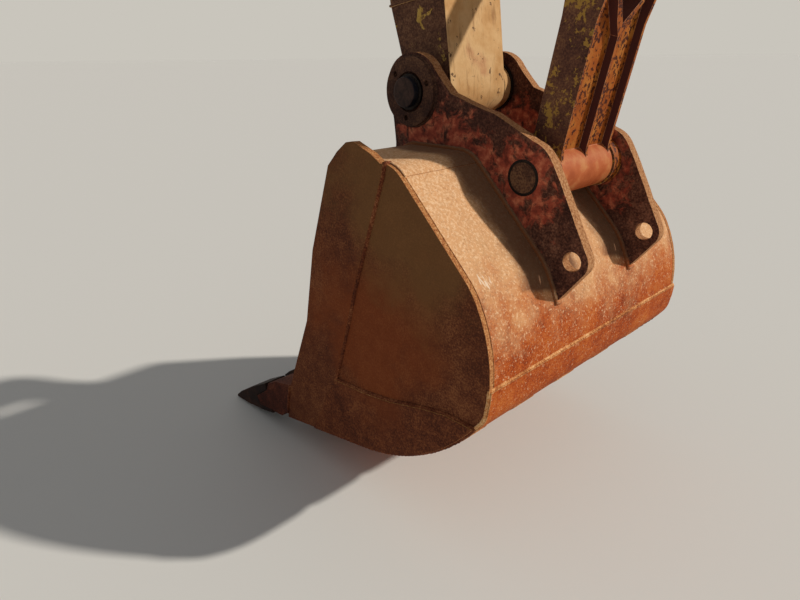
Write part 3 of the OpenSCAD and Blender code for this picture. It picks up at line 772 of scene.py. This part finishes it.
def show(name, bm, node, *finishes):
    """Makes an object of a bmesh, with its finishes, on the body of a node."""
    mesh = bpy.data.meshes.new(name)
    bm.to_mesh(mesh)
    bm.free()
    made = bpy.data.objects.new(name, mesh)
    bpy.context.scene.collection.objects.link(made)
    for finish in finishes:
        mesh.materials.append(finish)
    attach(made, BODY_OF[node])
    return made


def dress(node, plate, rim, soften_mm, batter_mm):
    """A merged copy of a node with battered, softened edges, shown in its place."""
    bm = merged(node)
    if batter_mm:
        batter(bm, batter_mm)
    for face in bm.faces:
        face.smooth = True
        face.material_index = 0
    for edge in bm.edges:
        edge.smooth = edge.is_manifold and edge.calc_face_angle(0) < CORNER
    made = show(node + "_worn", bm, node, plate, rim)
    bevel = made.modifiers.new("soft edges", "BEVEL")
    bevel.width = soften_mm * MM
    bevel.segments = BEVEL_STEPS
    bevel.limit_method = "ANGLE"
    bevel.angle_limit = CORNER
    bevel.material = 1
    bevel.harden_normals = True
    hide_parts(node)
    return len(made.data.polygons)


print("corners over", round(math.degrees(CORNER)), "degrees are rounded in", BEVEL_STEPS, "steps")

# %% [markdown]
# ## Every node dressed
# The table gives each node the finish of its faces, the finish of its rounds, how far its corners are
# rounded and how deep its outline is battered. Castings and forgings, such as the teeth, are rounder
# than plate.

# %% Every node dressed
DRESS = {  # finish of the faces, finish of the rounds, rounding in mm, battering in mm
    "arm_side_plates": (arm_enamel, arm_enamel, 2.5, 0),
    "arm_inner_plate": (arm_enamel, arm_enamel, 2, 0),
    "arm_outer_plate": (arm_enamel, arm_enamel, 2, 0),
    "arm_end_plate": (arm_enamel, arm_enamel, 2, 0),
    "arm_nose": (arm_enamel, arm_enamel, 5, 0),
    "boom_boss": (arm_enamel, edge_rust, 3, 0),
    "rocker_boss": (arm_enamel, edge_rust, 2, 0),
    "tail_ears": (arm_enamel, arm_enamel, 3, 0),
    "base_lugs": (arm_enamel, edge_rust, 3, 0),
    "rocker_pin": (pin_finish, pin_finish, 3, 0),
    "base_pin": (pin_finish, pin_finish, 3, 0),
    "bucket_wrapper": (back_rust, edge_rust, 2, 0),
    "hinge_box": (back_rust, back_rust, 4, 0),
    "rear_side_plates": (side_rust, side_rust, 2.5, 0),
    "front_side_plates": (side_rust, side_rust, 3, 0),
    "side_wear_plates": (wear_rust, wear_rust, 3, 0),
    "heel_band": (back_rust, edge_rust, 2.5, 0),
    "floor_strips": (wear_rust, edge_rust, 3, 0),
    "lip_plate": (inside_rust, edge_rust, 4, 0),
    "tooth_adapters": (adapter_finish, adapter_finish, 5, 0),
    "tooth_tips": (tooth_finish, tooth_finish, 5, 0),
    "bucket_ears": (ear_primer, ear_primer, 4, 2.4),
    "ear_collars": (collar_rust, collar_rust, 3, 0),
    "bucket_pin": (pin_finish, pin_finish, 4, 0),
    "link_pin": (collar_rust, collar_rust, 3, 0),
    "bucket_link": (link_enamel, link_rims_and_highlight, 3, 0),
    "fork_pins": (pin_finish, pin_finish, 2, 0),
    "rocker_levers": (arm_enamel, edge_rust, 3, 1.2),
    "rocker_stubs": (pin_finish, pin_finish, 3, 0),
    "barrel_tube": (ram_enamel, ram_enamel, 1, 0),
    "barrel_head": (ram_enamel, ram_enamel, 2, 0),
    "barrel_base": (ram_enamel, edge_rust, 3, 0),
    "oil_pipe": (pipe_finish, pipe_finish, 1.5, 0),
    "pipe_clamps": (pipe_finish, pipe_finish, 1.5, 0),
    "piston_rod": (rod_finish, rod_finish, 1, 0),
    "rod_eye": (ram_enamel, edge_rust, 3, 0),
    "rod_eye_pin": (pin_finish, pin_finish, 1, 0),
}
faces = sum(dress(node, *row) for node, row in DRESS.items())
print("dressed", len(DRESS), "nodes with", faces, "faces, left plain", sorted(set(NODES) - set(DRESS)))

# %% [markdown]
# ## Seams between plates
# Every plate here is held by fillet welds, and their ripples are what tells a real weldment from a
# drawing of one. A weld runs where one plate's corner lies on another plate, so its line needn't be
# typed in: `touching_edges` finds the corner edges of a node that touch its neighbours, and `seams`
# strings them together, from a loose end where there is one.

# %% Edges that touch a neighbour
TOUCHING = 1.3 * MM
ARM_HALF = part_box("arm_side_plates")[1].y


def anywhere(spot):
    """Keeps every part of a seam."""
    return True


def outside_arm(spot):
    """Keeps what lies on the outside of the arm's box."""
    return abs(spot.y) > ARM_HALF - 1 * MM


def touching_edges(bm, neighbours, within):
    """The corner edges, by their index, that lie on a neighbour all along."""
    trees = [BVHTree.FromBMesh(merged(other)) for other in neighbours]
    found = {}
    for edge in corner_edges(bm):
        start, end = (vert.co for vert in edge.verts)
        spots = [start.lerp(end, share) for share in (0.03, 0.5, 0.97)]
        if all(within(spot) for spot in spots) and all(
            any(tree.find_nearest(spot, TOUCHING)[0] is not None for tree in trees) for spot in spots
        ):
            found[edge.index] = edge
    return found


band = merged("heel_band")
on_back = touching_edges(band, ["bucket_wrapper"], anywhere)
print("of the heel band's corner edges,", len(on_back), "lie on the back plate")
band.free()


# %% Seams
def loose(vert, found):
    """Whether only one of the found edges meets at a point."""
    return sum(edge.index in found for edge in vert.link_edges) == 1


def seams(node, neighbours, within):
    """Strings of points along a node's corners that lie on its neighbours, and whether they close."""
    bm = merged(node)
    found = touching_edges(bm, neighbours, within)
    strings = []
    while found:
        ends = [edge for edge in found.values() if any(loose(vert, found) for vert in edge.verts)]
        edge = ends[0] if ends else next(iter(found.values()))
        vert = next((vert for vert in edge.verts if loose(vert, found)), edge.verts[0])
        string = [vert.co.copy()]
        while edge:
            del found[edge.index]
            vert = edge.other_vert(vert)
            string.append(vert.co.copy())
            edge = next((other for other in vert.link_edges if other.index in found), None)
        closed = len(string) > 3 and (string[0] - string[-1]).length < 0.1 * MM
        strings.append((string[:-1] if closed else string, closed))
    bm.free()
    return strings


print("the collars are welded along", len(seams("ear_collars", ["bucket_ears"], anywhere)), "seams")

# %% [markdown]
# ## Weld beads
# A hand weld is laid in small dabs, each a little wider in its middle than at its ends. So `lay`
# extrudes a ring of points along a seam, station by station, and swells and shrinks the ring as it
# goes. A bead that comes back to its start is bridged, and any other is filled at both ends.

# %% A bead along a string of points
BEAD_SIDES = 8
RIPPLE_DEPTH = 0.16
RIPPLE_SWING = 0.35
RIPPLE_CHANCE = 160  # how fast the uneven share of the ripples changes, for each metre


def stations(string, closed, pace_mm):
    """Evenly paced points along a string of points."""
    corners = string + string[:1] if closed else string
    path = []
    for start, end in zip(corners, corners[1:]):
        steps = max(1, round((end - start).length / (pace_mm * MM)))
        path += [start.lerp(end, i / steps) for i in range(steps)]
    return path if closed else path + corners[-1:]


def lay(bm, path, closed, radius_mm):
    """Extrudes a ring along a path, with ripples, and closes it at its ends."""
    heading = (path[1] - path[0]).normalized()
    turn = heading.to_track_quat("Z", "Y").to_matrix().to_4x4()
    at_start = Matrix.Translation(path[0]) @ turn
    bmesh.ops.create_circle(bm, segments=BEAD_SIDES, radius=radius_mm * MM, matrix=at_start)
    first = list(bm.edges)
    edges = first
    size = 1.0
    for i in range(1, len(path)):
        here, spot = path[i - 1], path[i]
        ahead = path[(i + 1) % len(path)] if closed or i + 1 < len(path) else spot + heading
        facing = (ahead - here).normalized()
        grown = bmesh.ops.extrude_edge_only(bm, edges=edges)["geom"]
        verts = [made for made in grown if isinstance(made, bmesh.types.BMVert)]
        sides = [made for made in grown if isinstance(made, bmesh.types.BMEdge)]
        edges = [side for side in sides if all(vert in verts for vert in side.verts)]
        swing = RIPPLE_SWING if i % 2 else -RIPPLE_SWING
        wanted = 1 + RIPPLE_DEPTH * (noise.noise(spot * RIPPLE_CHANCE) + swing)
        scale = Matrix.Scale(wanted / size, 4)
        swivel = heading.rotation_difference(facing).to_matrix().to_4x4()
        move = Matrix.Translation(spot) @ swivel @ scale @ Matrix.Translation(-here)
        bmesh.ops.transform(bm, matrix=move, verts=verts)
        heading, size = facing, wanted
    if closed:
        bmesh.ops.bridge_loops(bm, edges=first + edges)
    else:
        bmesh.ops.holes_fill(bm, edges=first + edges, sides=BEAD_SIDES)


metre = [Vector(), Vector((1, 0, 0))]
print("a metre of weld paced at 7 mm has", len(stations(metre, False, 7)), "rings")

# %% [markdown]
# ## All welds
# A kind of weld is one row of the table: whose corner is welded, what it lies on, how thick the bead
# is and how long its dabs are. Heavy plate gets thick beads with long dabs. Paint covers the arm's
# welds, and rust the bucket's. The beads along the heel band are scoured bright.

# %% All welds
SIDES = ["rear_side_plates", "front_side_plates"]
ARM_BOX = ["arm_side_plates", "arm_inner_plate", "arm_outer_plate"]
BEADS = [  # name, node whose corner is welded, what it lies on, radius and pace in mm, finish, where
    ("seam_welds", "rear_side_plates", ["front_side_plates"], 7, 7, weld_rust, anywhere),
    ("wear_plate_welds", "side_wear_plates", SIDES, 7, 8, weld_rust, anywhere),
    ("ear_foot_welds", "bucket_ears", ["bucket_wrapper", "hinge_box"], 9, 9, back_rust, anywhere),
    ("collar_welds", "ear_collars", ["bucket_ears"], 5, 6, collar_rust, anywhere),
    ("band_welds", "heel_band", ["bucket_wrapper", "rear_side_plates"], 4.5, 7, bright_weld, anywhere),
    ("strip_welds", "floor_strips", ["bucket_wrapper"], 4.5, 9, weld_rust, anywhere),
    ("lip_welds", "lip_plate", ["bucket_wrapper", "front_side_plates"], 6, 9, weld_rust, anywhere),
    ("adapter_welds", "tooth_adapters", ["lip_plate", "front_side_plates"], 6, 9, weld_rust, anywhere),
    ("hinge_box_welds", "hinge_box", SIDES, 5, 8, back_rust, anywhere),
    ("arm_inner_welds", "arm_inner_plate", ["arm_side_plates"], 3.5, 12, arm_enamel, anywhere),
    ("arm_outer_welds", "arm_outer_plate", ["arm_side_plates"], 3.5, 12, arm_enamel, anywhere),
    ("boss_welds", "arm_side_plates", ["boom_boss", "rocker_boss"], 7, 8, arm_enamel, outside_arm),
    ("nose_welds", "arm_nose", ARM_BOX, 4, 7, arm_enamel, anywhere),
    ("lug_welds", "base_lugs", ["arm_outer_plate"], 7, 8, arm_enamel, anywhere),
    ("tail_welds", "arm_end_plate", ["tail_ears", "arm_side_plates"], 6, 8, arm_enamel, anywhere),
]


def weld(name, node, neighbours, radius_mm, pace_mm, finish, within):
    """Lays one kind of weld wherever its node touches its neighbours."""
    total = bmesh.new()
    length = 0
    for string, closed in seams(node, neighbours, within):
        path = stations(string, closed, pace_mm)
        if len(path) < 3:
            continue
        bm = bmesh.new()
        lay(bm, path, closed, radius_mm)
        bmesh.ops.recalc_face_normals(bm, faces=bm.faces)
        for face in bm.faces:
            face.smooth = True
        length += sum((b - a).length for a, b in zip(path, path[1:]))
        bead = bpy.data.meshes.new("bead")
        bm.to_mesh(bead)
        bm.free()
        total.from_mesh(bead)
        bpy.data.meshes.remove(bead)
    print(name, round(length, 2), "m,", len(total.faces), "faces")
    show(name, total, node, finish)


for row in BEADS:
    weld(*row)

# %% [markdown]
# ## Grease rings and seals
# A pin is greased by hand until old grease squeezes out round it, so a black ring lies round every
# pin end, and rubber seals close the gaps between the bosses. Each of these is a body of revolution,
# so a short profile is spun about the pin's axis. The profile starts a little inside its pin and
# under its plate, so that no gap opens between them.

# %% Turned rings
TURN_STEPS = 40


def turned(bm, profile, centre):
    """Spins (radius, side) points in metres about an axis across the machine."""
    verts = [bm.verts.new(centre + Vector((0, side, radius))) for radius, side in profile]
    edges = [bm.edges.new(pair) for pair in zip(verts, verts[1:] + verts[:1])]
    bmesh.ops.spin(
        bm,
        geom=verts + edges,
        cent=centre,
        axis=ACROSS,
        angle=math.tau,
        steps=TURN_STEPS,
        use_merge=True,
    )


def ring(inner, outer, start, end):
    """A ring's profile with its outer corner taken off."""
    off = min(outer - inner, abs(end - start)) * 0.3
    out = off if end > start else -off
    return [(inner, start), (outer, start), (outer, end - out), (outer - off, end), (inner, end)]


def fitted(name, bm, node, finish, smooth):
    """Shows a fitting with outward normals, on the body of the node it is fitted to."""
    bmesh.ops.recalc_face_normals(bm, faces=bm.faces)
    for face in bm.faces:
        face.smooth = smooth
    for edge in bm.edges:
        edge.smooth = edge.calc_face_angle(0) < CORNER
    print(name, len(bm.faces), "faces")
    show(name, bm, node, finish)


print("a ring is turned in", TURN_STEPS, "steps of", len(ring(0.04, 0.05, 0, 0.01)), "points")

# %% Grease rings and seals
EAR_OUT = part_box("bucket_ears")[1].y
NOSE_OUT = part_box("arm_nose")[1].y
COLLAR_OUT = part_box("ear_collars")[1].y

rings = bmesh.new()
seals = bmesh.new()
TURNED = [  # mesh, pin, inner and outer radius in mm, plate's face, start and end past it in mm
    (rings, LINK_PIN, 40, 47.5, EAR_OUT, -3, 2),
    (rings, BUCKET_PIN, 40, 50, COLLAR_OUT, -3, 4),
    (seals, BUCKET_PIN, 66, 76, NOSE_OUT, -14, -2),
]
for side in (-1, 1):
    for bm, pin, inner, outer, plate_out, start, end in TURNED:
        low = side * (plate_out + start * MM)
        high = side * (plate_out + end * MM)
        turned(bm, ring(inner * MM, outer * MM, low, high), pin)
fitted("squeezed_grease", rings, "bucket_pin", grease, True)
fitted("pin_seals", seals, "arm_nose", grease, True)

# %% [markdown]
# ## Bolts and screws
# Three bolts keep the rocker's pin in its bosses, ten screws hold the cylinder's head, and two bolts
# clamp each of the oil pipe's blocks. All have hexagonal heads, because a spanner must find room
# beside them, and stand on washers. Each is two short prisms: a round one under a six-sided one.

# %% Bolt
WASHER = (24, 1.3, 0, 0.25)  # sides, width as a share of the head's, lower and upper share of the height
HEAD = (6, 1.0, 0.25, 1)


def bolt(bm, spot, outward, head_mm, height_mm):
    """A hexagonal head on a washer, looking outward."""
    turn = outward.to_track_quat("Z", "Y").to_matrix().to_4x4()
    for sides, wide, low, high in (WASHER, HEAD):
        middle = spot + outward * ((low + high) / 2 * height_mm * MM)
        bmesh.ops.create_cone(
            bm,
            cap_ends=True,
            segments=sides,
            radius1=head_mm / 2 * MM * wide,
            radius2=head_mm / 2 * MM * wide,
            depth=(high - low) * height_mm * MM,
            matrix=Matrix.Translation(middle) @ turn,
        )


print("a 13 mm bolt's washer is", round(13 * WASHER[1], 1), "mm across")

# %% Bolts on the rocker's pin
ROCKER_PIN_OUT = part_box("rocker_pin")[1].y
KEEPER_RADIUS = 21 * MM

keepers = bmesh.new()
for side in (-1, 1):
    for third in range(3):
        angle = math.tau * (third + 0.25) / 3
        reach = Vector((math.cos(angle), 0, math.sin(angle))) * KEEPER_RADIUS
        bolt(keepers, ROCKER_PIN + reach + ACROSS * side * ROCKER_PIN_OUT, ACROSS * side, 13, 6)
fitted("rocker_pin_bolts", keepers, "rocker_pin", pin_finish, False)

# %% Screws of the cylinder's head, and bolts of the pipe's blocks
FLANGE_AT = 1.350
SCREWS = 10
SCREW_RADIUS = 77 * MM
BLOCKS_AT = (0.202, 1.268)
BLOCK_TOP = 120 * MM
BLOCK_BOLT_OUT = 13 * MM

head_screws = bmesh.new()
for step in range(SCREWS):
    angle = math.tau * step / SCREWS
    reach = (RAM_OUT * math.cos(angle) + ACROSS * math.sin(angle)) * SCREW_RADIUS
    bolt(head_screws, BASE_PIN + RAM_DOWN * FLANGE_AT + reach, RAM_DOWN, 9, 8)
fitted("head_screws", head_screws, "barrel_head", pipe_finish, False)

block_bolts = bmesh.new()
for level in BLOCKS_AT:
    for side in (-1, 1):
        top = BASE_PIN + RAM_DOWN * level + RAM_OUT * BLOCK_TOP
        bolt(block_bolts, top + ACROSS * side * BLOCK_BOLT_OUT, RAM_OUT, 13, 8)
fitted("block_bolts", block_bolts, "oil_pipe", pipe_finish, False)

# %% [markdown]
# ## Floor
# The bucket stands on a plain pale floor at the tooth tips' level. The floor is very wide, so that it
# runs on to the horizon from any side.

# %% Floor
FLOOR_COLOUR = "#dedbd4"
FLOOR_HALF = 400.0


def pale_floor():
    """A wide floor at the lowest point of the object, which isn't part of it."""
    bm = bmesh.new()
    bmesh.ops.create_grid(bm, x_segments=1, y_segments=1, size=FLOOR_HALF)
    bmesh.ops.translate(bm, verts=bm.verts, vec=(0, 0, cad_box[0].z))
    mesh = bpy.data.meshes.new("floor")
    bm.to_mesh(mesh)
    bm.free()
    made = bpy.data.objects.new("floor", mesh)
    bpy.context.scene.collection.objects.link(made)
    finish, tree, place, shader = start_finish("pale_floor", Roughness=0.9)
    feed(tree, shader.inputs["Base Color"], FLOOR_COLOUR)
    mesh.materials.append(finish)


pale_floor()
print("floor at", round(cad_box[0].z, 3))

# %% [markdown]
# ## Light
# The key light comes from beyond the far side, high up, as the sun does in the photograph, and is two
# degrees wide so that its shadows have soft rims. The pale surroundings fill the shaded side. The
# camera sees them close to the floor's own tone, so the floor seems to run on without a horizon.

# %% Key light and surroundings
BACKDROP_COLOUR = "#c9c5bc"
KEY_FROM = Vector((0.63, 0.57, 0.53))
KEY_STRENGTH = 3.1
KEY_ANGLE = 2.0
FILL_STRENGTH = 0.28


def key_light():
    """A lamp from the far side, two degrees wide."""
    made = bpy.data.objects.new("key", bpy.data.lights.new("key", "SUN"))
    bpy.context.scene.collection.objects.link(made)
    made.data.energy = KEY_STRENGTH
    made.data.angle = math.radians(KEY_ANGLE)
    made.data.color = (1.0, 0.96, 0.90)
    made.rotation_mode = "QUATERNION"
    made.rotation_quaternion = KEY_FROM.to_track_quat("Z", "Y")


def surroundings():
    """Even fill light, seen by the camera and by gloss as a pale backdrop."""
    world = bpy.data.worlds.new("surroundings")
    bpy.context.scene.world = world
    world.use_nodes = True
    tree = world.node_tree
    tree.nodes.clear()
    rays = add(tree, "LightPath", {}).outputs
    seen = rays["Is Camera Ray"]
    for kind in ("Is Glossy Ray", "Is Transmission Ray"):
        seen = add(tree, "Math", {0: seen, 1: rays[kind]}, operation="MAXIMUM")
    fill = add(tree, "Background", {"Color": "#f2f5fa", "Strength": FILL_STRENGTH})
    shown = add(tree, "Background", {"Color": BACKDROP_COLOUR, "Strength": 1.0})
    mix = add(tree, "MixShader", {0: seen, 1: fill, 2: shown})
    add(tree, "OutputWorld", {"Surface": mix})


key_light()
surroundings()
bpy.context.scene.view_settings.view_transform = "Standard"
print("key light from", tuple(round(x, 2) for x in KEY_FROM))
